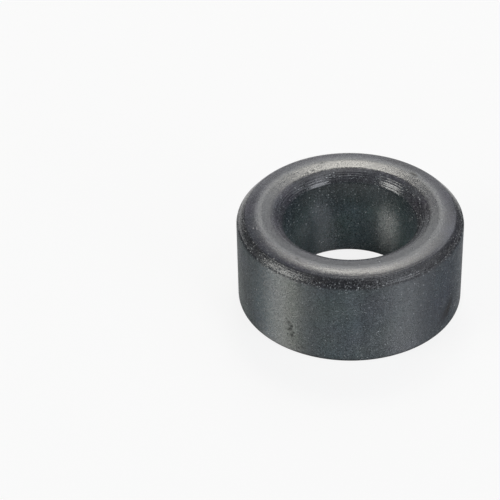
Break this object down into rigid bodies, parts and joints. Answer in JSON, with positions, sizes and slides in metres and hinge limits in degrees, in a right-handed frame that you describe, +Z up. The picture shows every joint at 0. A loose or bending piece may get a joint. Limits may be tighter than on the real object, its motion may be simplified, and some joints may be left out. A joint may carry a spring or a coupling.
{
  "type": "ferrite toroid core",
  "caption": "Dark grey ferrite ring with straight walls, a flat base and a crowned upper face. Wire or cable goes through its bore to make a choke or a noise filter.",
  "frame": {"origin": "centre of the flat base, on the surface that the ring lies on", "axes": "+Z up along the axis of the ring, from the flat base to the crowned face"},
  "size_m": [0.031, 0.031, 0.0136],
  "materials": {
    "ferrite": "sintered, bare, satin"
  },
  "bodies": {
    "root": {"ferrite_core": "ferrite"}
  },
  "joints": []
}
